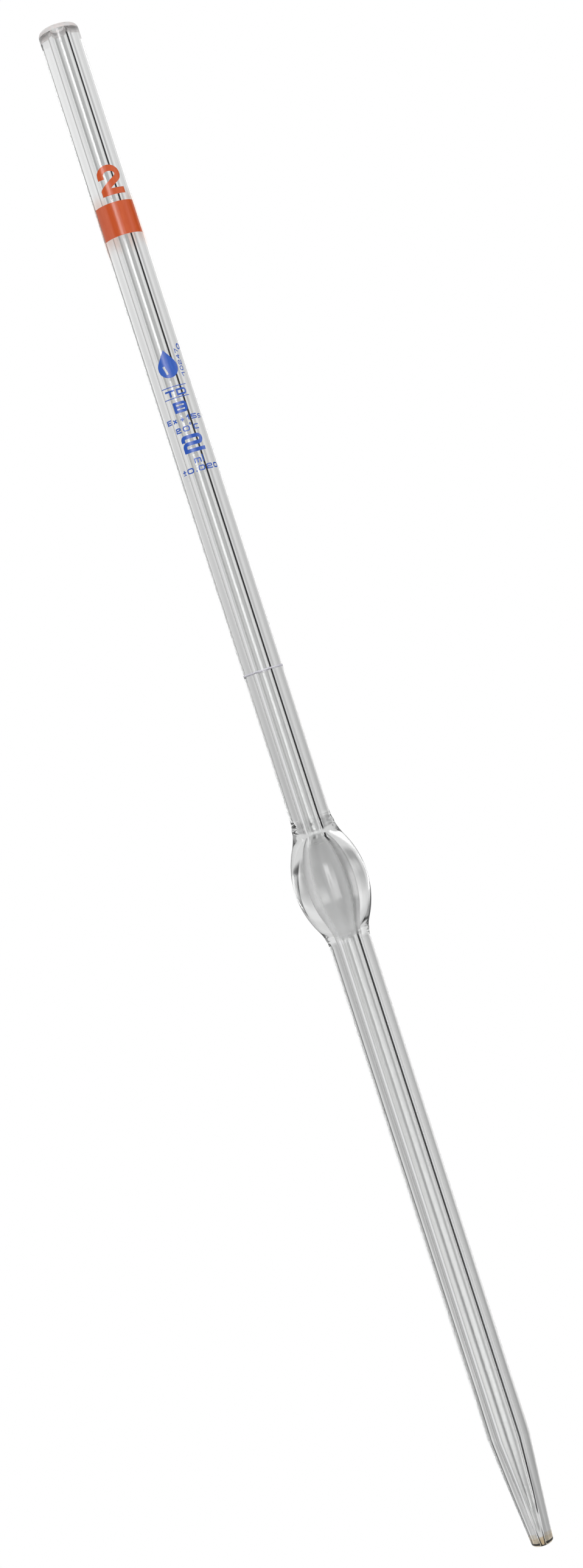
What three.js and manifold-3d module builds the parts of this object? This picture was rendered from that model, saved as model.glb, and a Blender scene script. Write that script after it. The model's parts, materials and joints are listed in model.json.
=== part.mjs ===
// A 2 ml volumetric pipette: thick-walled glass, fused from four lengths, with fired enamel marks.
// Millimetres, +Z up. It stands in the attitude it is used in: the jet's end face is at the origin,
// the axis is Z, and the marks face -Y.
import * as THREE from 'three';
import { mergeVertices } from 'three/addons/utils/BufferGeometryUtils.js';
import Module from 'manifold-3d';

// Lengths along the axis
const jetLength = 23.1;
const deliveryTubeLength = 107.9;
const suctionTubeLength = 171.3;
const weldGap = 0.05; // left between fused lengths, so that their end faces don't share a plane

// Diameters of the glass
const suctionTubeDiameter = 8.5;
const deliveryTubeDiameter = 8.9;
const bulbDiameter = 15.7;
const jetEndDiameter = 4.7;

// Radii of the bulb's outline: its belly, and where it runs into each tube
const bellyArc = 18.9;
const upperShoulderArc = 12.9;
const lowerShoulderArc = 7.6;

// The bore
const suctionBore = 3.1;
const deliveryBore = 3.6;
const bulbCavityDiameter = 6.8;
const cavityLowerArc = 26;
const cavityUpperArc = 24.5;
const cavityUpperReach = 10; // from the cavity's widest point up to where it meets the bore
const jetBore = 0.8;

// Fire-polished ends
const mouthOuterRound = 1.2;
const mouthInnerRound = 0.5;
const jetRound = 0.65;

// Enamel
const enamelGap = 0.04; // between the glass and the underside of the enamel
const enamelThickness = 0.1;
const ringAboveBulb = 31.4;
const ringWidth = 0.25;
const textAboveRing = 42.9; // from the ring to the foot of the lowest line
const bandAboveText = 51.1; // from the same foot to the lower edge of the band
const bandHeight = 7.0;
const bandHalfAngle = 68; // degrees to each side of the band's middle
const bandTurn = -6; // degrees, positive towards +X
const numeralGap = 1.5; // from the band to the large numeral over it
const numeralStroke = 1.32;
const layoutUnit = 0.943; // millimetres to one unit of the printed data's layout

// Strokes of the printed data, in layout units
const textStroke = 0.27;
const fineStroke = 0.18;
const boldStroke = 0.82;

// Facets round the axis, and how finely arcs are cut
const facets = 48;
const arcSteps = 6;
const textSteps = 2;
const largeMarkSteps = 6;
const largeMarkHeight = 3; // a mark taller than this is cut finely
const weldTolerance = 1e-4;

// Sizes that follow from the ones above
const suctionRadius = suctionTubeDiameter / 2;
const deliveryRadius = deliveryTubeDiameter / 2;
const bulbRadius = bulbDiameter / 2;
const cavityRadius = bulbCavityDiameter / 2;
const upperReach = shoulderReach(bulbRadius - suctionRadius, bellyArc + upperShoulderArc);
const lowerReach = shoulderReach(bulbRadius - deliveryRadius, bellyArc + lowerShoulderArc);
const bulbFoot = jetLength + deliveryTubeLength;
const bulbCentre = bulbFoot + lowerReach;
const bulbHead = bulbCentre + upperReach;
const mouthHeight = bulbHead + suctionTubeLength;
const ringHeight = bulbHead + ringAboveBulb;
const textFoot = ringHeight + textAboveRing;
const bandFoot = textFoot + bandAboveText;
const enamelInner = suctionRadius + enamelGap;
const enamelOuter = enamelInner + enamelThickness;

const wasm = await Module();
wasm.setup();

// Materials

const glass = new THREE.MeshStandardMaterial({ color: 0xdce3e4, roughness: 0.05, metalness: 0 });
const orangeEnamel = new THREE.MeshStandardMaterial({ color: 0xd2602f, roughness: 0.4, metalness: 0 });
const blueEnamel = new THREE.MeshStandardMaterial({ color: 0x2f55bd, roughness: 0.4, metalness: 0 });
const paleEnamel = new THREE.MeshStandardMaterial({ color: 0xe6e6ee, roughness: 0.5, metalness: 0 });

// Outlines of the glass

// How far a shoulder reaches along the axis while it rises by the given amount on two tangent arcs.
function shoulderReach(rise, arcSum) {
  return Math.sqrt(2 * rise * arcSum - rise * rise);
}

// One side of a bulb, from the tube to the widest point: a hollow arc, then the belly's arc.
// side is -1 for the side below the middle and 1 for the side above it.
function shoulder(tubeRadius, widest, reach, belly, middle, side) {
  const rise = widest - tubeRadius;
  const arcSum = (reach * reach + rise * rise) / (2 * rise);
  const hollow = arcSum - belly;
  const turn = Math.asin(reach / arcSum);
  const points = [];
  for (let i = 0; i < arcSteps; i++) {
    const angle = (turn * i) / arcSteps;
    const radius = tubeRadius + hollow * (1 - Math.cos(angle));
    points.push(new THREE.Vector2(radius, middle + side * (reach - hollow * Math.sin(angle))));
  }
  for (let i = arcSteps; i >= 0; i--) {
    const angle = (turn * i) / arcSteps;
    const radius = widest - belly * (1 - Math.cos(angle));
    points.push(new THREE.Vector2(radius, middle + side * belly * Math.sin(angle)));
  }
  return points;
}

// The bulb's outside, upwards: the lower side, then the upper side turned round.
function bulbOutside() {
  const lower = shoulder(deliveryRadius, bulbRadius, lowerReach, bellyArc, bulbCentre, -1);
  const upper = shoulder(suctionRadius, bulbRadius, upperReach, bellyArc, bulbCentre, 1).reverse();
  lower[0].y += weldGap;
  return [...lower, ...upper.slice(1)];
}

// The bulb's cavity, upwards. Its upper end is blunter, and a length of plain bore follows it.
function bulbInside() {
  const bore = suctionBore / 2;
  const lower = shoulder(deliveryBore / 2, cavityRadius, lowerReach, cavityLowerArc, bulbCentre, -1);
  const upper = shoulder(bore, cavityRadius, cavityUpperReach, cavityUpperArc, bulbCentre, 1).reverse();
  lower[0].y += weldGap;
  return [...lower, ...upper.slice(1), new THREE.Vector2(bore, bulbHead)];
}

// A rounded corner, from one angle to another in degrees.
function corner(radius, x, y, from, to) {
  const points = [];
  for (let i = 0; i <= arcSteps / 2; i++) {
    const angle = THREE.MathUtils.degToRad(from + ((to - from) * i) / (arcSteps / 2));
    points.push(new THREE.Vector2(x + radius * Math.cos(angle), y + radius * Math.sin(angle)));
  }
  return points;
}

// A solid of revolution about Z from a closed outline of (radius, height) points,
// listed up its outside and down its bore.
function turned(outline) {
  return new THREE.LatheGeometry([...outline, outline[0].clone()], facets).rotateX(Math.PI / 2);
}

function plainTube(outerRadius, boreRadius, from, to) {
  return turned([
    new THREE.Vector2(boreRadius, from),
    new THREE.Vector2(outerRadius, from),
    new THREE.Vector2(outerRadius, to),
    new THREE.Vector2(boreRadius, to),
  ]);
}

// The four lengths of glass

function suctionTube() {
  const bore = suctionBore / 2;
  const from = bulbHead + weldGap;
  return turned([
    new THREE.Vector2(bore, from),
    new THREE.Vector2(suctionRadius, from),
    ...corner(mouthOuterRound, suctionRadius - mouthOuterRound, mouthHeight - mouthOuterRound, 0, 90),
    ...corner(mouthInnerRound, bore + mouthInnerRound, mouthHeight - mouthInnerRound, 90, 180),
  ]);
}

function bulb() {
  return turned([...bulbOutside(), ...bulbInside().reverse()]);
}

function deliveryTube() {
  return plainTube(deliveryRadius, deliveryBore / 2, jetLength + weldGap, bulbFoot);
}

function jet() {
  const endRadius = jetEndDiameter / 2;
  return turned([
    new THREE.Vector2(jetBore / 2, 0),
    ...corner(jetRound, endRadius - jetRound, jetRound, 270, 360),
    new THREE.Vector2(deliveryRadius, jetLength),
    new THREE.Vector2(deliveryBore / 2, jetLength),
  ]);
}

// Strokes of the marks

// A stroke is { points, closed }: the middle line of a drawn line, in millimetres.
function open(path, steps) {
  return { points: distinct(path.getPoints(steps)), closed: false };
}

// Drops each point that lies on the one before it, as where a line runs into an arc.
function distinct(points) {
  return points.filter((point, i) => i === 0 || point.distanceTo(points[i - 1]) > weldTolerance);
}

function line(...coordinates) {
  const points = [];
  for (let i = 0; i < coordinates.length; i += 2) {
    points.push(new THREE.Vector2(coordinates[i], coordinates[i + 1]));
  }
  return { points, closed: false };
}

// A rectangle with its right-hand corners rounded, and its left-hand ones too where leftRound is set.
function loop(halfWidth, halfHeight, round, leftRound) {
  const path = new THREE.Path();
  const x = halfWidth - round;
  const y = halfHeight - round;
  path.absarc(x, -y, round, -Math.PI / 2, 0);
  path.absarc(x, y, round, 0, Math.PI / 2);
  if (leftRound) {
    path.absarc(-x, y, round, Math.PI / 2, Math.PI);
    path.absarc(-x, -y, round, Math.PI, 1.5 * Math.PI);
  } else {
    path.lineTo(-halfWidth, halfHeight);
    path.lineTo(-halfWidth, -halfHeight);
  }
  const points = distinct(path.getPoints(textSteps));
  const meets = points[0].distanceTo(points[points.length - 1]) < weldTolerance;
  return { points: meets ? points.slice(1) : points, closed: true };
}

// The outline of a stroke of even width, with mitred joins and square ends.
function outlineOf(stroke, width) {
  const { points, closed } = stroke;
  const left = [];
  const right = [];
  points.forEach((point, i) => {
    const before = points[i - 1] ?? (closed ? points[points.length - 1] : null);
    const after = points[i + 1] ?? (closed ? points[0] : null);
    const into = before ? point.clone().sub(before).normalize() : null;
    const away = after ? after.clone().sub(point).normalize() : null;
    const along = (into ?? away).clone().add(away ?? into).normalize();
    const side = new THREE.Vector2(-along.y, along.x);
    const reach = width / 2 / along.dot(into ?? away);
    const cap = (into ? 0 : -width / 2) + (away ? 0 : width / 2);
    const middle = point.clone().addScaledVector(along, cap);
    left.push(middle.clone().addScaledVector(side, reach));
    right.push(middle.clone().addScaledVector(side, -reach));
  });
  if (!closed) {
    return new THREE.Shape([...right, ...left.reverse()]);
  }
  const shape = new THREE.Shape(right);
  shape.holes.push(new THREE.Path(left));
  return shape;
}

// Characters: each returns the strokes of one mark, whose middle lines fill 2a by 2b

const characters = {
  zero: (a, b) => [loop(a, b, Math.min(a, b) * 0.7, true)],
  two: (a, b, steps) => {
    const path = new THREE.Path();
    path.moveTo(-a, b * 0.55);
    path.lineTo(-a, b * 0.6);
    path.absarc(-a + b * 0.4, b * 0.6, b * 0.4, Math.PI, Math.PI / 2, true);
    path.absarc(a - b / 2, b / 2, b / 2, Math.PI / 2, -Math.PI / 2, true);
    path.absarc(-a + b / 2, -b / 2, b / 2, Math.PI / 2, Math.PI);
    path.lineTo(-a, -b);
    path.lineTo(a, -b);
    return [open(path, steps)];
  },
  five: (a, b, steps) => {
    const path = new THREE.Path();
    path.moveTo(a, b);
    path.lineTo(-a, b);
    path.lineTo(-a, 0);
    path.absarc(a - b / 2, -b / 2, b / 2, Math.PI / 2, -Math.PI / 2, true);
    path.lineTo(-a, -b);
    return [open(path, steps)];
  },
  letterS: (a, b, steps) => {
    const path = new THREE.Path();
    path.moveTo(a, b);
    path.lineTo(-a + b / 2, b);
    path.absarc(-a + b / 2, b / 2, b / 2, Math.PI / 2, 1.5 * Math.PI);
    path.absarc(a - b / 2, -b / 2, b / 2, Math.PI / 2, -Math.PI / 2, true);
    path.lineTo(-a, -b);
    return [open(path, steps)];
  },
  letterC: (a, b, steps) => {
    const path = new THREE.Path();
    path.moveTo(a, b);
    path.lineTo(-a + b * 0.6, b);
    path.absarc(-a + b * 0.6, b * 0.4, b * 0.6, Math.PI / 2, Math.PI);
    path.absarc(-a + b * 0.6, -b * 0.4, b * 0.6, Math.PI, 1.5 * Math.PI);
    path.lineTo(a, -b);
    return [open(path, steps)];
  },
  letterM: (a, b, steps) => {
    const path = new THREE.Path();
    path.moveTo(-a, -b);
    path.lineTo(-a, b);
    path.absarc(a - b / 2, b / 2, b / 2, Math.PI / 2, 0, true);
    path.lineTo(a, -b);
    return [open(path, steps), line(0, b, 0, -b)];
  },
  one: (a, b) => [line(-a, b * 0.3, a * 0.6, b, a * 0.6, -b)],
  four: (a, b) => [
    line(a * 0.4, -b, a * 0.4, b),
    line(a * 0.4, b, -a, -b * 0.4),
    line(-a, -b * 0.4, a, -b * 0.4),
  ],
  seven: (a, b) => [line(-a, b, a, b, -a * 0.3, -b)],
  letterB: (a, b) => [loop(a, b, b * 0.45, false), line(-a, 0, a, 0)],
  letterD: (a, b) => [loop(a, b, b * 0.8, false)],
  letterE: (a, b) => [line(a, b, -a, b, -a, -b, a, -b), line(-a, 0, a * 0.8, 0)],
  letterL: (a, b) => [line(0, b, 0, -b)],
  letterT: (a, b) => [line(-a, b, a, b), line(0, b, 0, -b)],
  letterX: (a, b) => [line(-a, b, a, -b), line(-a, -b, a, b)],
  plus: (a, b) => [line(-a, 0, a, 0), line(0, b, 0, -b)],
  rule: (a) => [line(-a, 0, a, 0)],
  ring: (a) => [loop(a, a, a, true)],
  // A bold 2 with an oval head, a neck that turns down at its end, and a flat foot
  boldTwo: (a, b, steps) => {
    const head = new THREE.Path();
    head.moveTo(-a, b * 0.4);
    head.lineTo(-a, b * 0.44);
    head.absellipse(0, b * 0.44, a, b * 0.56, Math.PI, -Math.PI / 4, true);
    head.quadraticCurveTo(-a, -b * 0.75, -a, -b * 0.85);
    head.lineTo(-a, -b * 0.9);
    return [open(head, steps), line(-a, -b, a, -b)];
  },
};

// A falling drop, as a solid outline: a round foot and two straight sides up to a point.
function dropShape(width, height) {
  const radius = width / 2;
  const lean = Math.asin(radius / (height - radius));
  const shape = new THREE.Shape();
  shape.absarc(0, radius - height / 2, radius, Math.PI - lean, 2 * Math.PI + lean);
  shape.lineTo(0, height / 2);
  return shape;
}

// Enamel

function toSolid(geometry) {
  const bare = geometry.clone();
  bare.deleteAttribute('normal');
  bare.deleteAttribute('uv');
  const welded = mergeVertices(bare, weldTolerance);
  return new wasm.Manifold(new wasm.Mesh({
    numProp: 3,
    vertProperties: new Float32Array(welded.attributes.position.array),
    triVerts: new Uint32Array(welded.index.array),
  }));
}

function toGeometry(solid) {
  const { vertProperties, triVerts } = solid.getMesh();
  const geometry = new THREE.BufferGeometry();
  geometry.setAttribute('position', new THREE.BufferAttribute(vertProperties, 3));
  geometry.setIndex(new THREE.BufferAttribute(triVerts, 1));
  geometry.computeVertexNormals();
  return geometry;
}

// Bends a flat outline round the tube as seen from -Y: an arc length becomes its place across the view.
function bent(points, mark) {
  return points.map((point) => {
    const across = mark.sideways ? -point.y : point.x;
    const up = mark.sideways ? point.x : point.y;
    return new THREE.Vector2(enamelInner * Math.sin((mark.across + across) / enamelInner), mark.up + up);
  });
}

// A prism along Y, from the axis to just in front of the enamel, for one outline of a mark.
function prism(shape, mark) {
  const flat = shape.extractPoints(largeMarkSteps);
  const placed = new THREE.Shape(bent(flat.shape, mark));
  placed.holes = flat.holes.map((hole) => new THREE.Path(bent(hole, mark)));
  const depth = enamelOuter + enamelThickness;
  const geometry = new THREE.ExtrudeGeometry(placed, { depth, bevelEnabled: false });
  return toSolid(geometry.rotateX(Math.PI / 2));
}

// The skin of enamel that a mark leaves on the tube: its prism within a thin sleeve round the glass.
function enamelMark(mark) {
  const reach = Math.max(mark.width, mark.height);
  const sleeve = toSolid(plainTube(enamelOuter, enamelInner, mark.up - reach, mark.up + reach));
  if (mark.character === 'drop') {
    const shine = line(-mark.width * 0.2, -mark.height * 0.1, -mark.width * 0.12, -mark.height * 0.32);
    const drop = prism(dropShape(mark.width, mark.height), mark);
    return toGeometry(drop.subtract(prism(outlineOf(shine, mark.stroke), mark)).intersect(sleeve));
  }
  const halfWidth = (mark.width - mark.stroke) / 2;
  const halfHeight = (mark.height - mark.stroke) / 2;
  const steps = mark.height > largeMarkHeight ? largeMarkSteps : textSteps;
  const strokes = characters[mark.character](halfWidth, halfHeight, steps);
  const prisms = strokes.map((stroke) => prism(outlineOf(stroke, mark.stroke), mark));
  return toGeometry(prisms.reduce((all, next) => all.add(next)).intersect(sleeve));
}

// The band of colour: part of a sleeve, open at the back.
function colourBand() {
  const start = THREE.MathUtils.degToRad(bandTurn - bandHalfAngle);
  const sweep = THREE.MathUtils.degToRad(2 * bandHalfAngle);
  const wedge = new THREE.Shape();
  wedge.absarc(0, 0, enamelOuter * 2, start - Math.PI / 2, start - Math.PI / 2 + sweep);
  wedge.lineTo(0, 0);
  const slice = new THREE.ExtrudeGeometry(wedge, { depth: bandHeight, bevelEnabled: false, curveSegments: 8 });
  const sleeve = plainTube(enamelOuter, enamelInner, bandFoot, bandFoot + bandHeight);
  return toGeometry(toSolid(slice.translate(0, 0, bandFoot)).intersect(toSolid(sleeve)));
}

// The printed marks

// Turns a mark from layout units, measured from the foot of the data, into millimetres.
function laidOut(mark) {
  return {
    ...mark,
    width: mark.width * layoutUnit,
    height: mark.height * layoutUnit,
    stroke: mark.stroke * layoutUnit,
    across: mark.across * layoutUnit,
    up: textFoot + mark.up * layoutUnit,
  };
}

// One line of text: each character's name, shape, width and place across, in a shared height and stroke.
function textLine(up, height, stroke, list) {
  return list.map(([name, character, width, across]) => laidOut({
    name, character, width, height, stroke, across, up,
  }));
}

const lotDigits = ['one', 'zero', 'two', 'four', 'seven'];
const lotPitch = 1.32;
const lotMiddle = 24.2;
const lotAcross = 3.1;
const lotDigitWidth = 1.08;
const lotDigitHeight = 1.02;

const numeralHeight = 6.3;
const numeral = {
  name: 'capacity_numeral', character: 'boldTwo', width: 5.2, across: 0.38,
  height: numeralHeight, stroke: numeralStroke, up: bandFoot + bandHeight + numeralGap + numeralHeight / 2,
};

const marks = [
  ...textLine(0.6, 1.2, textStroke, [
    ['tolerance_units', 'zero', 1.6, -2.47],
    ['tolerance_tenths', 'zero', 1.55, 0.24],
    ['tolerance_hundredths', 'two', 1.55, 2.2],
    ['tolerance_thousandths', 'zero', 1.5, 4.08],
  ]),
  ...textLine(0.75, 0.85, textStroke, [['tolerance_plus', 'plus', 0.9, -4.14]]),
  ...textLine(0.13, fineStroke, fineStroke, [['tolerance_minus', 'rule', 0.9, -4.14]]),
  ...textLine(0.14, textStroke, textStroke, [['tolerance_point', 'rule', 0.3, -1.06]]),
  ...textLine(2.4, 1.1, textStroke, [['unit_m', 'letterM', 1.6, -0.12]]),
  ...textLine(2.65, 1.6, textStroke, [['unit_l', 'letterL', textStroke, 1.13]]),
  ...textLine(6.3, 3.9, boldStroke, [['volume_numeral', 'two', 5.0, 0.08]]),
  ...textLine(9.7, 1.2, textStroke, [
    ['temperature_tens', 'two', 1.2, -2.31],
    ['temperature_units', 'zero', 1.6, -0.43],
    ['temperature_c', 'letterC', 1.25, 1.96],
  ]),
  ...textLine(10.55, 0.56, fineStroke, [['temperature_degree', 'ring', 0.56, 0.75]]),
  ...textLine(12.0, 1.15, textStroke, [
    ['delivery_e', 'letterE', 1.3, -3.96],
    ['wait_tens', 'one', 0.75, 0.71],
    ['wait_units', 'five', 1.5, 2.2],
  ]),
  ...textLine(11.85, 0.85, textStroke, [
    ['delivery_x', 'letterX', 0.86, -2.4],
    ['wait_plus', 'plus', 0.86, -0.67],
  ]),
  ...textLine(11.9, 0.95, fineStroke, [['wait_seconds', 'letterS', 1.05, 3.77]]),
  ...textLine(14.6, 2.4, 0.6, [['class_letter', 'letterB', 3.05, -0.2]]),
  ...textLine(16.8, fineStroke, fineStroke, [['rule_lower', 'rule', 5.95, -0.24]]),
  ...textLine(17.9, 1.5, 0.4, [
    ['delivered_t', 'letterT', 2.2, -1.5],
    ['delivered_d', 'letterD', 2.4, 1.1],
  ]),
  ...textLine(19.3, fineStroke, fineStroke, [['rule_upper', 'rule', 5.95, -0.24]]),
  ...textLine(24.4, 6.3, 0.5, [['drop_mark', 'drop', 4.6, -0.16]]),
  ...textLine(27.8, 1.4, textStroke, [['round_mark', 'ring', 1.4, 4.24]]),
  ...lotDigits.map((character, i) => laidOut({
    name: `lot_digit_${i + 1}`,
    character,
    width: lotDigitWidth,
    height: lotDigitHeight,
    stroke: fineStroke,
    sideways: true,
    across: lotAcross,
    up: lotMiddle + lotPitch * (i - (lotDigits.length - 1) / 2),
  })),
];

// The assembly

const pipette = new THREE.Group();

function addPiece(name, geometry, material) {
  const mesh = new THREE.Mesh(geometry, material);
  mesh.name = name;
  pipette.add(mesh);
}

addPiece('suction_tube', suctionTube(), glass);
addPiece('bulb', bulb(), glass);
addPiece('delivery_tube', deliveryTube(), glass);
addPiece('jet', jet(), glass);

const ringLow = ringHeight - ringWidth / 2;
addPiece('ring_mark', plainTube(enamelOuter, enamelInner, ringLow, ringLow + ringWidth), paleEnamel);
addPiece('colour_band', colourBand(), orangeEnamel);
addPiece(numeral.name, enamelMark(numeral), orangeEnamel);
for (const mark of marks) {
  addPiece(mark.name, enamelMark(mark), blueEnamel);
}

export default pipette;
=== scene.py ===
# A glass bulb pipette with fired enamel marks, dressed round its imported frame. Metres, +Z up.
import json
import math
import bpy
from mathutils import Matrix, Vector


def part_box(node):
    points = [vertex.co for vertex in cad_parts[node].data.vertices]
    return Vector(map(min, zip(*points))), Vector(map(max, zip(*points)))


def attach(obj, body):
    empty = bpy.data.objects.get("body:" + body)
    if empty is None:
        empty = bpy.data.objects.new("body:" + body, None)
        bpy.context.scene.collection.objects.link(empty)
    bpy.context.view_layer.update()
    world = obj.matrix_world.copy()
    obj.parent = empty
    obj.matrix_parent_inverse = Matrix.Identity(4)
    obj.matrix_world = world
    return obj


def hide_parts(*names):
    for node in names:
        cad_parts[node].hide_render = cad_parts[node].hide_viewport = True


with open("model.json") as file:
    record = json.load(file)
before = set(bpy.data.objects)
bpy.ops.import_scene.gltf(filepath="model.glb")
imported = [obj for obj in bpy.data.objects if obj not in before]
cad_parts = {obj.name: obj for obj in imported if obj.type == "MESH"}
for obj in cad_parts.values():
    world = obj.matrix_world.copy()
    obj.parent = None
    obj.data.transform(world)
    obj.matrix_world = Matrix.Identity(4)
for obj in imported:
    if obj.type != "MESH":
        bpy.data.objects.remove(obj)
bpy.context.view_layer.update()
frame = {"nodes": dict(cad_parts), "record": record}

from types import SimpleNamespace

import bmesh
import bpy
from mathutils import Matrix, Vector, noise

nodes = frame["nodes"]
millimetre = 0.001
mergeDistance = 1e-7


def radiiOf(nodeName):
    distances = [math.hypot(v.co.x, v.co.y) for v in nodes[nodeName].data.vertices]
    return min(distances), max(distances)


# The smallest and largest radius of a node's corners that lie near one level.
def radiiAt(nodeName, level, reach=0.1 * millimetre):
    corners = [v.co for v in nodes[nodeName].data.vertices if abs(v.co.z - level) < reach]
    distances = [math.hypot(corner.x, corner.y) for corner in corners]
    return min(distances), max(distances)


def levelsOf(nodeName):
    low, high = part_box(nodeName)
    return low[2], high[2]


def addObject(name, bm):
    mesh = bpy.data.meshes.new(name)
    bm.to_mesh(mesh)
    bm.free()
    piece = bpy.data.objects.new(name, mesh)
    bpy.context.scene.collection.objects.link(piece)
    return piece


def smoothShade(piece):
    for polygon in piece.data.polygons:
        polygon.use_smooth = True


# A Math node; an input may be a number or another node's output.
def mathNode(tree, operation, *inputs, clamp=False):
    node = tree.nodes.new("ShaderNodeMath")
    node.operation = operation
    node.use_clamp = clamp
    for socket, value in zip(node.inputs, inputs):
        if isinstance(value, (int, float)):
            socket.default_value = value
        else:
            tree.links.new(value, socket)
    return node.outputs[0]


# A smooth ramp of one value from fromLow to fromHigh, put out between toLow and toHigh.
def rampNode(tree, value, fromLow, fromHigh, toLow=0.0, toHigh=1.0):
    node = tree.nodes.new("ShaderNodeMapRange")
    node.interpolation_type = "SMOOTHSTEP"
    tree.links.new(value, node.inputs["Value"])
    node.inputs["From Min"].default_value = fromLow
    node.inputs["From Max"].default_value = fromHigh
    node.inputs["To Min"].default_value = toLow
    node.inputs["To Max"].default_value = toHigh
    return node.outputs["Result"]


def noiseNode(tree, vector, scale, detail=2.0, roughness=0.5):
    node = tree.nodes.new("ShaderNodeTexNoise")
    node.inputs["Scale"].default_value = scale
    node.inputs["Detail"].default_value = detail
    node.inputs["Roughness"].default_value = roughness
    tree.links.new(vector, node.inputs["Vector"])
    return node.outputs["Fac"]


def mappingNode(tree, vector, scale):
    node = tree.nodes.new("ShaderNodeMapping")
    node.inputs["Scale"].default_value = scale
    tree.links.new(vector, node.inputs["Vector"])
    return node.outputs["Vector"]


def mixColour(tree, factor, colourA, colourB):
    node = tree.nodes.new("ShaderNodeMix")
    node.data_type = "RGBA"
    tree.links.new(factor, node.inputs["Factor"])
    for socket, colour in ((node.inputs["A"], colourA), (node.inputs["B"], colourB)):
        if isinstance(colour, tuple):
            socket.default_value = (*colour, 1)
        else:
            tree.links.new(colour, socket)
    return node.outputs["Result"]


camera = {
    "azimuth": -8.0,  # degrees round the pipette, from the side that carries the marks
    "distance": 0.5051,
    "height": 0.1659,
    "sideways": -0.00156,  # the axis stands a little right of the middle
    "roll": 17.8,  # degrees that the top leans to the left
    "lens": 55.9,
    "clipStart": 0.01,
}


def placeCamera(values):
    data = bpy.data.cameras.new("camera")
    data.lens = values["lens"]
    data.clip_start = values["clipStart"]
    holder = bpy.data.objects.new("camera", data)
    bpy.context.scene.collection.objects.link(holder)
    turn = math.radians(values["azimuth"])
    roll = math.radians(values["roll"])
    away = Vector((math.sin(turn), -math.cos(turn), 0))
    right = Vector((math.cos(turn), math.sin(turn), 0))
    up = Vector((0, 0, 1))
    cameraRight = math.cos(roll) * right - math.sin(roll) * up
    cameraUp = math.sin(roll) * right + math.cos(roll) * up
    position = values["distance"] * away + values["sideways"] * right + values["height"] * up
    matrix = Matrix((cameraRight, cameraUp, away)).transposed().to_4x4()
    matrix.translation = position
    holder.matrix_world = matrix
    bpy.context.scene.camera = holder


placeCamera(camera)
print("camera placed")

# A white ground, and a tent of pale cards and lights that stand round the pipette. A card's angles are
# degrees from straight behind the pipette, to the right, between -180 and 180, so a light that stands
# across the pipette's front is two cards. Each card adds its level between its two sides: above, at and
# below the pipette's middle. It leans by so many degrees for each one up.
studio = {
    "ground": 1.0,
    "tent": 0.66,  # level above and below the cards
    "tentFrom": 19.5,  # degrees above the horizon at which the cards fade into the tent
    "tentTo": 27.0,
    "cardRise": 14.0,  # degrees above the horizon at which a card has its level "above"
    "floorDrop": 0.03,
    "floorSize": 6.0,
    "cards": [
        {"from": -99, "to": -58, "soft": 12, "lean": 0.0, "above": 0.74, "middle": 0.76, "below": 0.72},
        {"from": -58, "to": -28, "soft": 10, "lean": 0.0, "above": 0.76, "middle": 0.54, "below": 0.36},
        {"from": -30, "to": 18, "soft": 14, "lean": 0.0, "above": 0.38, "middle": 0.29, "below": 0.37},
        {"from": -14, "to": -2, "soft": 8, "lean": 0.0, "above": 0.24, "middle": 0.26, "below": -0.26},
        {"from": 18, "to": 90, "soft": 12, "lean": 0.0, "above": 0.76, "middle": 0.46, "below": 0.38},
        {"from": 38, "to": 58, "soft": 12, "lean": 0.0, "above": 0.00, "middle": 0.08, "below": 0.46},
        {"from": 82, "to": 100, "soft": 8, "lean": 0.0, "above": 0.00, "middle": 0.90, "below": 1.20},
        {"from": 100, "to": 121, "soft": 14, "lean": 0.0, "above": 0.60, "middle": 4.40, "below": 4.60},
        {"from": 121, "to": 162, "soft": 10, "lean": 0.0, "above": 0.50, "middle": 0.40, "below": 0.40},
        {"from": -134, "to": -99, "soft": 10, "lean": 0.0, "above": 1.00, "middle": 1.30, "below": 1.90},
        {"from": 161, "to": 174, "soft": 3, "lean": 0.0, "above": 1.60, "middle": 4.60, "below": 4.40},
        {"from": 174, "to": 189, "soft": 3, "lean": 0.0, "above": 6.50, "middle": 4.60, "below": 4.40},
        {"from": -190, "to": -172, "soft": 4, "lean": 0.0, "above": 5.60, "middle": 1.60, "below": 1.60},
        {"from": -177, "to": -173, "soft": 1.5, "lean": 0.0, "above": 0.00, "middle": 2.50, "below": 0.00},
        {"from": -176, "to": -163, "soft": 5, "lean": 0.0, "above": 0.80, "middle": 0.20, "below": 0.90},
        {"from": -160, "to": -136, "soft": 8, "lean": 0.0, "above": 0.10, "middle": 0.20, "below": 4.60},
    ],
    # the black card whose image is the thin dark line inside the glass
    "blackCard": {"from": 51, "to": 80, "soft": 3, "lean": 0.6},
}


# A mask that is one between a card's two sides.
def cardMask(tree, angle, elevation, card):
    leaned = mathNode(tree, "SUBTRACT", angle, mathNode(tree, "MULTIPLY", elevation, card["lean"]))
    half = card["soft"] / 2
    rise = rampNode(tree, leaned, card["from"] - half, card["from"] + half)
    fall = rampNode(tree, leaned, card["to"] - half, card["to"] + half, 1.0, 0.0)
    return mathNode(tree, "MULTIPLY", rise, fall)


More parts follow.
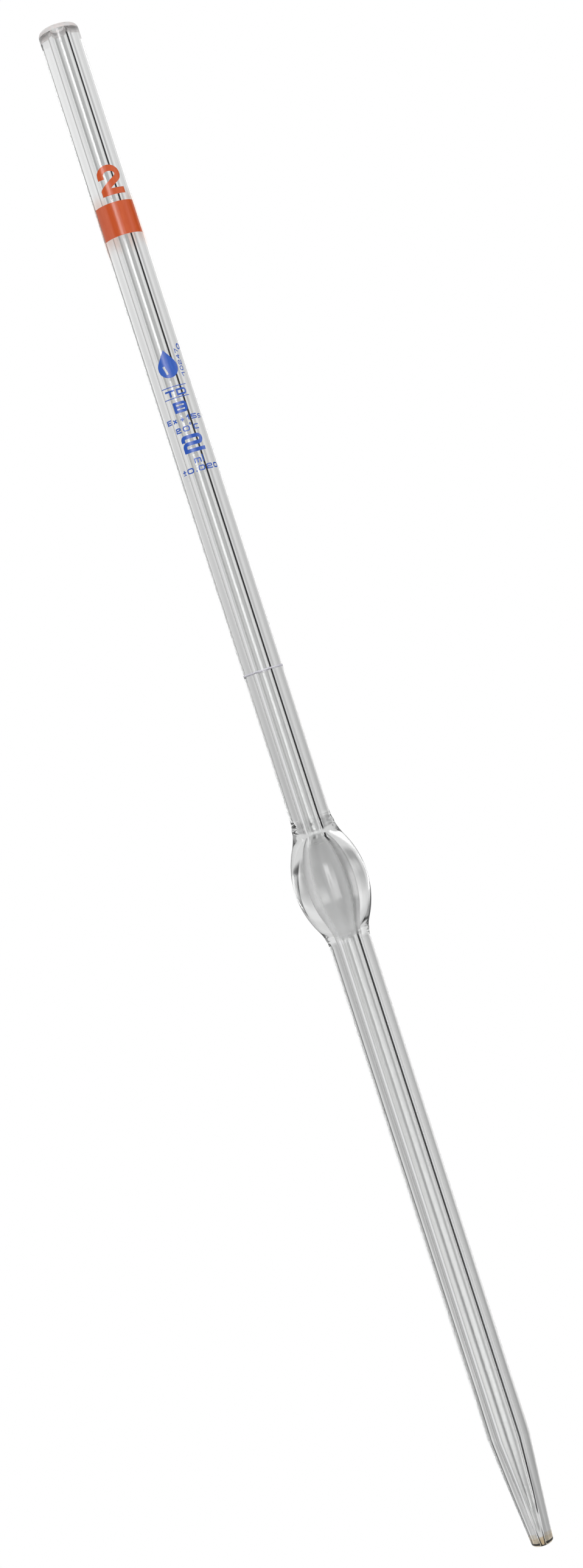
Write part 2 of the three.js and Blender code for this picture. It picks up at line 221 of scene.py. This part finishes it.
def buildWorld(values, azimuth):
    world = bpy.data.worlds.new("studio")
    bpy.context.scene.world = world
    world.use_nodes = True
    tree = world.node_tree
    tree.nodes.clear()
    coordinates = tree.nodes.new("ShaderNodeTexCoord")
    turned = tree.nodes.new("ShaderNodeVectorRotate")
    turned.rotation_type = "Z_AXIS"
    turned.inputs["Angle"].default_value = -math.radians(azimuth)
    tree.links.new(coordinates.outputs["Generated"], turned.inputs["Vector"])
    parts = tree.nodes.new("ShaderNodeSeparateXYZ")
    tree.links.new(turned.outputs["Vector"], parts.inputs[0])
    radians = mathNode(tree, "ARCTAN2", parts.outputs["X"], parts.outputs["Y"])
    angle = mathNode(tree, "DEGREES", radians)
    elevation = mathNode(tree, "DEGREES", mathNode(tree, "ARCSINE", parts.outputs["Z"]))
    rise = mathNode(tree, "DIVIDE", elevation, values["cardRise"])
    above = mathNode(tree, "MULTIPLY", rise, 1.0, clamp=True)
    below = mathNode(tree, "MULTIPLY", rise, -1.0, clamp=True)
    total = None
    for card in values["cards"]:
        more = mathNode(tree, "MULTIPLY", above, card["above"] - card["middle"])
        less = mathNode(tree, "MULTIPLY", below, card["below"] - card["middle"])
        level = mathNode(tree, "ADD", mathNode(tree, "ADD", more, card["middle"]), less)
        share = mathNode(tree, "MULTIPLY", level, cardMask(tree, angle, elevation, card))
        total = share if total is None else mathNode(tree, "ADD", total, share)
    dark = cardMask(tree, angle, elevation, values["blackCard"])
    total = mathNode(tree, "MULTIPLY", total, mathNode(tree, "SUBTRACT", 1.0, dark))
    height = mathNode(tree, "ABSOLUTE", elevation)
    tent = tree.nodes.new("ShaderNodeMix")
    tent.data_type = "FLOAT"
    tree.links.new(rampNode(tree, height, values["tentFrom"], values["tentTo"]), tent.inputs["Factor"])
    tree.links.new(total, tent.inputs["A"])
    tent.inputs["B"].default_value = values["tent"]
    path = tree.nodes.new("ShaderNodeLightPath")
    lit = tree.nodes.new("ShaderNodeMix")
    lit.data_type = "FLOAT"
    tree.links.new(path.outputs["Is Camera Ray"], lit.inputs["Factor"])
    tree.links.new(tent.outputs["Result"], lit.inputs["A"])
    lit.inputs["B"].default_value = values["ground"]
    background = tree.nodes.new("ShaderNodeBackground")
    tree.links.new(lit.outputs["Result"], background.inputs["Color"])
    output = tree.nodes.new("ShaderNodeOutputWorld")
    tree.links.new(background.outputs[0], output.inputs["Surface"])


def buildFloor(values):
    bm = bmesh.new()
    bmesh.ops.create_grid(bm, x_segments=1, y_segments=1, size=values["floorSize"] / 2)
    bmesh.ops.translate(bm, verts=bm.verts, vec=(0, 0, -values["floorDrop"]))
    floor = addObject("floor", bm)
    material = bpy.data.materials.new("white_floor")
    material.use_nodes = True
    tree = material.node_tree
    tree.nodes.clear()
    path = tree.nodes.new("ShaderNodeLightPath")
    dull = tree.nodes.new("ShaderNodeEmission")
    dull.inputs["Strength"].default_value = values["tent"]
    bright = tree.nodes.new("ShaderNodeEmission")
    bright.inputs["Strength"].default_value = values["ground"]
    mix = tree.nodes.new("ShaderNodeMixShader")
    output = tree.nodes.new("ShaderNodeOutputMaterial")
    tree.links.new(path.outputs["Is Camera Ray"], mix.inputs[0])
    tree.links.new(dull.outputs[0], mix.inputs[1])
    tree.links.new(bright.outputs[0], mix.inputs[2])
    tree.links.new(mix.outputs[0], output.inputs["Surface"])
    floor.data.materials.append(material)
    floor.visible_transmission = False  # the glass is lit by the tent alone, above and below
    floor.visible_glossy = False


buildWorld(studio, camera["azimuth"])
buildFloor(studio)
scene = bpy.context.scene
scene.view_settings.view_transform = "Standard"
scene.view_settings.look = "None"
print("studio lit")

# A node group with the named inputs and outputs; returns it with its input and output nodes.
def newGroup(name, inputs, outputs):
    group = bpy.data.node_groups.new(name, "ShaderNodeTree")
    for socketName, kind, value in inputs:
        socket = group.interface.new_socket(name=socketName, in_out="INPUT", socket_type=kind)
        if value is not None:
            socket.default_value = value
    for socketName, kind in outputs:
        group.interface.new_socket(name=socketName, in_out="OUTPUT", socket_type=kind)
    return group, group.nodes.new("NodeGroupInput"), group.nodes.new("NodeGroupOutput")


surface = {
    "drawLines": (2600.0, 2600.0, 6.0),  # lines along the tube, from drawing the hot glass
    "flow": (90.0, 90.0, 28.0),  # slow unevenness
    "pitCells": 420.0,
    "pitEdge": (0.10, 0.16),  # where a pit ends, as a share of its cell
    "pitChance": (0.90, 0.92),  # only the cells whose random value is above this have a pit
    "grain": 5200.0,
    "mottle": (900.0, 900.0, 160.0),
    "mottleEdge": (0.42, 0.72),
    "grainRoughness": 0.12,
}


# The relief of drawn glass: draw lines, slow flow and a few pits.
def buildDrawnSurface(values):
    group, entry, leave = newGroup(
        "drawnSurface",
        [("Vector", "NodeSocketVector", None), ("Lines", "NodeSocketFloat", 1.0),
         ("Flow", "NodeSocketFloat", 1.0), ("Pits", "NodeSocketFloat", 1.0)],
        [("Height", "NodeSocketFloat")],
    )
    vector = entry.outputs["Vector"]
    lines = noiseNode(group, mappingNode(group, vector, values["drawLines"]), 1.0, detail=2.0)
    flow = noiseNode(group, mappingNode(group, vector, values["flow"]), 1.0, detail=1.0)
    cells = group.nodes.new("ShaderNodeTexVoronoi")
    cells.inputs["Scale"].default_value = values["pitCells"]
    group.links.new(vector, cells.inputs["Vector"])
    near = rampNode(group, cells.outputs["Distance"], *values["pitEdge"], 1.0, 0.0)
    parts = group.nodes.new("ShaderNodeSeparateColor")
    group.links.new(cells.outputs["Color"], parts.inputs[0])
    chosen = rampNode(group, parts.outputs[0], *values["pitChance"])
    pits = mathNode(group, "MULTIPLY", near, chosen)
    height = mathNode(group, "MULTIPLY", lines, entry.outputs["Lines"])
    height = mathNode(group, "ADD", height, mathNode(group, "MULTIPLY", flow, entry.outputs["Flow"]))
    height = mathNode(group, "SUBTRACT", height, mathNode(group, "MULTIPLY", pits, entry.outputs["Pits"]))
    group.links.new(height, leave.inputs["Height"])
    return group


# The mottle and fine grain of printed enamel after firing.
def buildFiredGrain(values):
    group, entry, leave = newGroup(
        "firedGrain",
        [("Vector", "NodeSocketVector", None), ("Colour", "NodeSocketColor", (0.5, 0.5, 0.5, 1)),
         ("Thin Colour", "NodeSocketColor", (0.6, 0.6, 0.6, 1)), ("Mottle", "NodeSocketFloat", 0.5),
         ("Gloss", "NodeSocketFloat", 0.3)],
        [("Colour", "NodeSocketColor"), ("Roughness", "NodeSocketFloat"), ("Height", "NodeSocketFloat")],
    )
    vector = entry.outputs["Vector"]
    mottle = noiseNode(group, mappingNode(group, vector, values["mottle"]), 1.0, detail=3.0, roughness=0.6)
    grain = noiseNode(group, vector, values["grain"], detail=2.0, roughness=0.6)
    thin = rampNode(group, mottle, *values["mottleEdge"])
    share = mathNode(group, "MULTIPLY", thin, entry.outputs["Mottle"])
    colour = mixColour(group, share, entry.outputs["Colour"], entry.outputs["Thin Colour"])
    dulled = mathNode(group, "MULTIPLY", grain, values["grainRoughness"])
    rough = mathNode(group, "ADD", entry.outputs["Gloss"], dulled)
    group.links.new(colour, leave.inputs["Colour"])
    group.links.new(rough, leave.inputs["Roughness"])
    group.links.new(grain, leave.inputs["Height"])
    return group


drawnSurface = buildDrawnSurface(surface)
firedGrain = buildFiredGrain(surface)


def placeGroup(tree, group, vector, **values):
    node = tree.nodes.new("ShaderNodeGroup")
    node.node_tree = group
    tree.links.new(vector, node.inputs["Vector"])
    for name, value in values.items():
        node.inputs[name.replace("_", " ")].default_value = value
    return node


def bumpNode(tree, height, distance):
    node = tree.nodes.new("ShaderNodeBump")
    node.inputs["Strength"].default_value = 1.0
    node.inputs["Distance"].default_value = distance
    tree.links.new(height, node.inputs["Height"])
    return node.outputs["Normal"]


def newMaterial(name):
    material = bpy.data.materials.new(name)
    material.use_nodes = True
    tree = material.node_tree
    coordinates = tree.nodes.new("ShaderNodeTexCoord")
    return material, tree, tree.nodes["Principled BSDF"], coordinates.outputs["Object"]


glass = {
    "bellyArc": 18.9 * millimetre,
    "upperHollow": 12.9 * millimetre,
    "lowerHollow": 7.6 * millimetre,
    "cavityLowerArc": 26 * millimetre,
    "cavityUpperArc": 24.5 * millimetre,
    "cavityUpperReach": 10 * millimetre,  # from the cavity's widest point up to where it meets the bore
    "mouthOuterRound": 1.2 * millimetre,
    "mouthInnerRound": 0.5 * millimetre,
    "jetRound": 0.65 * millimetre,
    "mouthOuterSteps": 10,
    "mouthInnerSteps": 8,
    "jetRoundSteps": 8,
    "arcSteps": 26,
    "guard": 0.15 * millimetre,  # a short face where a long straight face meets a bend, to keep it straight
    "turnSteps": 320,
    "tubeStep": 12.0 * millimetre,
    "index": 1.515,
    "clear": (0.985, 0.99, 0.988),
    "relief": 0.0004 * millimetre,
    "lines": 0.6,
    "flow": 3.0,
    "pits": 2.0,
    # the ground and stained end of the jet
    "stain": (0.90, 0.78, 0.60),
    "stainHeight": 2.4 * millimetre,
    "stainSoftness": 1.2 * millimetre,
    "stainEdge": 0.4 * millimetre,
    "stainGrain": 700.0,
    "groundRoughness": 0.12,
    # the blown wall inside the bulb is a little dull, and the dullness fades out between two distances
    # from the axis, above the bulb's foot and below its head
    "cavityRoughness": 0.45,
    "cavityEdge": (3.6 * millimetre, 3.8 * millimetre),
    "cavityFoot": (0.5 * millimetre, 2.5 * millimetre),
    "cavityHead": (8 * millimetre, 5.5 * millimetre),
    # the warm light that the orange band throws into the glass beside it, at the tube's two sides
    "glow": (0.82, 0.58, 0.50),
    "glowReach": 3.4 * millimetre,
    "glowSides": (0.40, 0.75),  # shares of the tube's radius
    # the mouth's fire-polished round, with warmer patches; its pale, less clear share is painted light,
    # standing in for the light that the glass wall carries up to the mouth
    "rim": (0.93, 0.92, 0.92),
    "rimWarm": (0.93, 0.86, 0.84),
    # how much of the rim stays clear glass; the rest shows the pale painted light
    "rimClearnessBesidePaintedLight": 0.32,
    "rimPatches": 900.0,
    "rimPatchEdge": (0.35, 0.65),
    "rimRoughness": 0.05,
    "rimPatchRoughness": 0.06,
    # where each tube was fused to the bulb: distance into the bulb, and the ridge that is left
    "upperWeld": {"inset": 2.3 * millimetre, "height": 0.10 * millimetre, "width": 0.45 * millimetre},
    "lowerWeld": {"inset": 1.8 * millimetre, "height": 0.07 * millimetre, "width": 0.40 * millimetre},
    "weldUnevenness": 0.7,
    "weldLumps": 1.7,  # round the tube
    "weldLumpsAlong": 0.4,
    "weldReach": 3,  # widths from its middle at which a ridge ends
    "weldSkin": 0.5 * millimetre,  # points deeper in the glass than this stay where they are
}


# One side of the bulb, from the tube to the widest point: a hollow arc, then the belly's arc.
def shoulder(tube, widest, reach, belly, middle, side, steps):
    rise = widest - tube
    arcSum = (reach * reach + rise * rise) / (2 * rise)
    hollow = arcSum - belly
    turn = math.asin(reach / arcSum)
    points = []
    for i in range(steps):
        angle = turn * i / steps
        level = middle + side * (reach - hollow * math.sin(angle))
        points.append((tube + hollow * (1 - math.cos(angle)), level))
    for i in range(steps, -1, -1):
        angle = turn * i / steps
        points.append((widest - belly * (1 - math.cos(angle)), middle + side * belly * math.sin(angle)))
    return points


# Part of a circle, between two angles in degrees.
def corner(radius, x, z, start, end, steps):
    points = []
    for i in range(steps + 1):
        angle = math.radians(start + (end - start) * i / steps)
        points.append((x + radius * math.cos(angle), z + radius * math.sin(angle)))
    return points


# The points between two ends of a straight length, without the ends themselves.
def straight(radiusA, radiusB, zA, zB, step):
    count = max(1, round(abs(zB - zA) / step))
    return [(radiusA + (radiusB - radiusA) * i / count, zA + (zB - zA) * i / count) for i in range(1, count)]


# How far along the axis a hollow arc and a belly arc take to rise by so much.
def reachOf(rise, arcSum):
    return math.sqrt(2 * rise * arcSum - rise ** 2)


# How far a weld's uneven ridge lifts a point of the outside.
def weldLift(co, level, weld, values):
    offset = (co.z - level) / weld["width"]
    if abs(offset) > values["weldReach"]:
        return 0.0
    around = Vector((co.x, co.y, 0)).normalized() * values["weldLumps"]
    along = Vector((0, 0, co.z / weld["width"] * values["weldLumpsAlong"]))
    uneven = 1 + values["weldUnevenness"] * noise.noise(around + along)
    return weld["height"] * uneven * math.exp(-offset * offset)


# The radii and levels that the glass takes from the frame and from its own arcs.
def measureGlass(values):
    suctionBore, suctionRadius = radiiOf("suction_tube")
    deliveryBore, deliveryRadius = radiiOf("delivery_tube")
    bulbRadius = radiiOf("bulb")[1]
    bulbHead = levelsOf("bulb")[1]
    lowerReach = reachOf(bulbRadius - deliveryRadius, values["bellyArc"] + values["lowerHollow"])
    upperReach = reachOf(bulbRadius - suctionRadius, values["bellyArc"] + values["upperHollow"])
    middle = bulbHead - upperReach
    return SimpleNamespace(
        suctionBore=suctionBore,
        suctionRadius=suctionRadius,
        deliveryBore=deliveryBore,
        deliveryRadius=deliveryRadius,
        bulbRadius=bulbRadius,
        bulbHead=bulbHead,
        bulbFoot=middle - lowerReach,
        middle=middle,
        lowerReach=lowerReach,
        upperReach=upperReach,
        cavityRadius=radiiAt("bulb", middle)[0],
        cavityHead=middle + values["cavityUpperReach"],
        jetBore=radiiOf("jet")[0],
        jetTop=levelsOf("jet")[1],
        endRadius=radiiAt("jet", values["jetRound"])[1],
        mouth=levelsOf("suction_tube")[1],
    )


# The outside, from the jet's end face up to the mouth.
def outsideOutline(values, size):
    step = values["tubeStep"]
    guard = values["guard"]
    belly = values["bellyArc"]
    arcSteps = values["arcSteps"]
    endRound = values["jetRound"]
    mouthRound = values["mouthOuterRound"]
    roundFoot = size.mouth - mouthRound
    points = corner(endRound, size.endRadius - endRound, endRound, 270, 360, values["jetRoundSteps"])
    points += straight(size.endRadius, size.deliveryRadius, endRound, size.jetTop, step)
    points += [(size.deliveryRadius, size.jetTop)]
    points += straight(size.deliveryRadius, size.deliveryRadius, size.jetTop, size.bulbFoot, step)
    points += [(size.deliveryRadius, size.bulbFoot - guard)]
    lower = shoulder(size.deliveryRadius, size.bulbRadius, size.lowerReach, belly, size.middle, -1, arcSteps)
    upper = shoulder(size.suctionRadius, size.bulbRadius, size.upperReach, belly, size.middle, 1, arcSteps)
    points += lower
    points += upper[::-1][1:]
    points += [(size.suctionRadius, size.bulbHead + guard)]
    points += straight(size.suctionRadius, size.suctionRadius, size.bulbHead, roundFoot, step)
    points += [(size.suctionRadius, roundFoot - guard)]
    points += corner(mouthRound, size.suctionRadius - mouthRound, roundFoot, 0, 90, values["mouthOuterSteps"])
    return points


# The bore and the bulb's cavity, from the mouth down to the jet's outlet.
def insideOutline(values, size):
    step = values["tubeStep"]
    guard = values["guard"]
    arcSteps = values["arcSteps"]
    upperReach = values["cavityUpperReach"]
    upperArc = values["cavityUpperArc"]
    lowerArc = values["cavityLowerArc"]
    mouthRound = values["mouthInnerRound"]
    roundFoot = size.mouth - mouthRound
    points = corner(mouthRound, size.suctionBore + mouthRound, roundFoot, 90, 180, values["mouthInnerSteps"])
    points += [(size.suctionBore, roundFoot - guard)]
    points += straight(size.suctionBore, size.suctionBore, roundFoot, size.cavityHead, step)
    points += [(size.suctionBore, size.cavityHead + guard)]
    points += shoulder(size.suctionBore, size.cavityRadius, upperReach, upperArc, size.middle, 1, arcSteps)
    lowerReach = size.lowerReach
    lower = shoulder(size.deliveryBore, size.cavityRadius, lowerReach, lowerArc, size.middle, -1, arcSteps)
    points += lower[::-1][1:]
    points += straight(size.deliveryBore, size.deliveryBore, size.bulbFoot, size.jetTop, step)
    points += [(size.deliveryBore, size.jetTop)]
    points += straight(size.deliveryBore, size.jetBore, size.jetTop, 0, step)
    points += [(size.jetBore, 0)]
    return points


# Lifts the outside into a ridge at each of the bulb's two welds.
def raiseWelds(bm, values, size):
    welds = ((size.bulbHead - values["upperWeld"]["inset"], values["upperWeld"]),
             (size.bulbFoot + values["lowerWeld"]["inset"], values["lowerWeld"]))
    for vert in bm.verts:
        across = math.hypot(vert.co.x, vert.co.y)
        if across > size.suctionRadius - values["weldSkin"]:
            lift = sum(weldLift(vert.co, level, weld, values) for level, weld in welds)
            vert.co.x *= (across + lift) / across
            vert.co.y *= (across + lift) / across


def buildGlass(values):
    size = measureGlass(values)
    bm = bmesh.new()
    outline = outsideOutline(values, size) + insideOutline(values, size)
    ringPoints = [bm.verts.new((radius, 0, z)) for radius, z in outline]
    for i, vert in enumerate(ringPoints):
        bm.edges.new((vert, ringPoints[(i + 1) % len(ringPoints)]))
    bmesh.ops.spin(bm, geom=bm.verts[:] + bm.edges[:], cent=(0, 0, 0), axis=(0, 0, 1),
                   angle=2 * math.pi, steps=values["turnSteps"], use_merge=True)
    bmesh.ops.remove_doubles(bm, verts=bm.verts, dist=mergeDistance)
    bmesh.ops.recalc_face_normals(bm, faces=bm.faces)
    raiseWelds(bm, values, size)
    piece = addObject("pipette_glass", bm)
    smoothShade(piece)
    return piece


# A mask that is one on the blown wall of the cavity.
def cavityMask(tree, parts, values):
    squares = [mathNode(tree, "MULTIPLY", parts.outputs[axis], parts.outputs[axis]) for axis in ("X", "Y")]
    across = mathNode(tree, "SQRT", mathNode(tree, "ADD", *squares))
    foot, head = levelsOf("bulb")
    inside = rampNode(tree, across, *values["cavityEdge"], 1.0, 0.0)
    aboveFoot = rampNode(tree, parts.outputs["Z"], *[foot + gap for gap in values["cavityFoot"]])
    belowHead = rampNode(tree, parts.outputs["Z"], *[head - gap for gap in values["cavityHead"]], 1.0, 0.0)
    return mathNode(tree, "MULTIPLY", inside, mathNode(tree, "MULTIPLY", aboveFoot, belowHead))


# A mask for the glass near the colour band, at the tube's two sides.
def glowMask(tree, parts, values):
    foot, head = levelsOf("colour_band")
    reach = values["glowReach"]
    tube = radiiOf("suction_tube")[1]
    nearFoot = rampNode(tree, parts.outputs["Z"], foot - reach, foot)
    nearHead = rampNode(tree, parts.outputs["Z"], head, head + reach, 1.0, 0.0)
    sideways = mathNode(tree, "ABSOLUTE", parts.outputs["X"])
    sides = rampNode(tree, sideways, *[share * tube for share in values["glowSides"]])
    return mathNode(tree, "MULTIPLY", mathNode(tree, "MULTIPLY", nearFoot, nearHead), sides)


def glassMaterial(values):
    material, tree, shader, vector = newMaterial("clear_glass")
    shader.inputs["IOR"].default_value = values["index"]
    shader.inputs["Transmission Weight"].default_value = 1.0
    parts = tree.nodes.new("ShaderNodeSeparateXYZ")
    tree.links.new(vector, parts.inputs[0])
    grain = noiseNode(tree, vector, values["stainGrain"], detail=2.0)
    edge = mathNode(tree, "MULTIPLY", grain, values["stainSoftness"])
    level = mathNode(tree, "SUBTRACT", parts.outputs["Z"], edge)
    low = values["stainHeight"] - values["stainSoftness"]
    stained = rampNode(tree, level, low, low + values["stainEdge"], 1.0, 0.0)
    colour = mixColour(tree, stained, values["clear"], values["stain"])
    colour = mixColour(tree, glowMask(tree, parts, values), colour, values["glow"])
    tree.links.new(colour, shader.inputs["Base Color"])
    ground = mathNode(tree, "MULTIPLY", stained, values["groundRoughness"])
    blown = mathNode(tree, "MULTIPLY", cavityMask(tree, parts, values), values["cavityRoughness"])
    tree.links.new(mathNode(tree, "ADD", ground, blown), shader.inputs["Roughness"])
    relief = placeGroup(tree, drawnSurface, vector,
                        Lines=values["lines"], Flow=values["flow"], Pits=values["pits"])
    tree.links.new(bumpNode(tree, relief.outputs["Height"], values["relief"]), shader.inputs["Normal"])
    return material


# The mouth's fire-polished round, paler and less clear than the drawn tube; the pale, less clear share is
# painted light, standing in for the light that the glass wall carries up to the mouth.
def rimMaterialWithPaintedLight(values):
    material, tree, shader, vector = newMaterial("polished_rim_with_painted_light")
    shader.inputs["IOR"].default_value = values["index"]
    # the share that is not clear shows the pale colour, painted light at the mouth
    shader.inputs["Transmission Weight"].default_value = values["rimClearnessBesidePaintedLight"]
    mottle = noiseNode(tree, vector, values["rimPatches"], detail=2.0)
    patches = rampNode(tree, mottle, *values["rimPatchEdge"])
    tree.links.new(mixColour(tree, patches, values["rim"], values["rimWarm"]), shader.inputs["Base Color"])
    dulled = mathNode(tree, "MULTIPLY", patches, values["rimPatchRoughness"])
    tree.links.new(mathNode(tree, "ADD", dulled, values["rimRoughness"]), shader.inputs["Roughness"])
    return material


# Gives the faces of the mouth's round the second material.
def markRim(piece, values):
    rimFoot = levelsOf("suction_tube")[1] - values["mouthOuterRound"]
    for polygon in piece.data.polygons:
        if min(piece.data.vertices[i].co.z for i in polygon.vertices) > rimFoot - mergeDistance:
            polygon.material_index = 1


glassPiece = buildGlass(glass)
glassPiece.data.materials.append(glassMaterial(glass))
glassPiece.data.materials.append(rimMaterialWithPaintedLight(glass))
markRim(glassPiece, glass)
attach(glassPiece, "root")
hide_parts("suction_tube", "bulb", "delivery_tube", "jet")
print("glass made")

enamel = {
    "sink": 0.02 * millimetre,  # into the glass
    "stand": 0.035 * millimetre,  # off it
    "angleStep": 2.5,  # degrees between cuts round the tube
    "grainHeight": 0.012 * millimetre,
    # each colour's full and thin shade, its gloss (a roughness) and how much it is mottled
    "finishes": {
        "orange_enamel": {
            "colour": (0.62, 0.100, 0.028), "thin": (0.68, 0.135, 0.045), "gloss": 0.05, "mottle": 0.7,
        },
        "blue_enamel": {
            "colour": (0.030, 0.105, 0.50), "thin": (0.06, 0.16, 0.58), "gloss": 0.10, "mottle": 0.6,
        },
        "pale_enamel": {
            "colour": (0.72, 0.71, 0.77), "thin": (0.60, 0.59, 0.66), "gloss": 0.35, "mottle": 0.8,
        },
    },
}


# A copy of a mark's solid, cut finely round the tube and laid on the glass.
def wrapMark(nodeName, values):
    source = nodes[nodeName]
    tube = radiiOf("suction_tube")[1]
    low, high = radiiOf(nodeName)
    divide = (low + high) / 2
    bm = bmesh.new()
    bm.from_mesh(source.data)
    bmesh.ops.remove_doubles(bm, verts=bm.verts, dist=mergeDistance)
    for i in range(round(180 / values["angleStep"])):  # each plane cuts both sides of the tube
        turn = math.radians(values["angleStep"] * i)
        geometry = bm.verts[:] + bm.edges[:] + bm.faces[:]
        bmesh.ops.bisect_plane(bm, geom=geometry, dist=mergeDistance, plane_co=(0, 0, 0),
                               plane_no=(math.cos(turn), math.sin(turn), 0))
    for vert in bm.verts:
        across = math.hypot(vert.co.x, vert.co.y)
        target = tube - values["sink"] if across < divide else tube + values["stand"]
        vert.co.x *= target / across
        vert.co.y *= target / across
    return addObject(nodeName + "_print", bm)


def enamelMaterial(name, finish, values):
    material, tree, shader, vector = newMaterial(name)
    grain = placeGroup(tree, firedGrain, vector, Mottle=finish["mottle"], Gloss=finish["gloss"],
                       Colour=(*finish["colour"], 1), Thin_Colour=(*finish["thin"], 1))
    tree.links.new(grain.outputs["Colour"], shader.inputs["Base Color"])
    tree.links.new(grain.outputs["Roughness"], shader.inputs["Roughness"])
    normal = bumpNode(tree, grain.outputs["Height"], values["grainHeight"])
    tree.links.new(normal, shader.inputs["Normal"])
    return material


slots = {entry["node"]: entry["material_slot"] for entry in frame["record"]["subparts"]}
finishes = enamel["finishes"].items()
enamelMaterials = {name: enamelMaterial(name, finish, enamel) for name, finish in finishes}
for nodeName in sorted(nodes):
    if slots[nodeName] in enamelMaterials:
        mark = wrapMark(nodeName, enamel)
        mark.data.materials.append(enamelMaterials[slots[nodeName]])
        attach(mark, "root")
        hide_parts(nodeName)
print("enamel marks made")
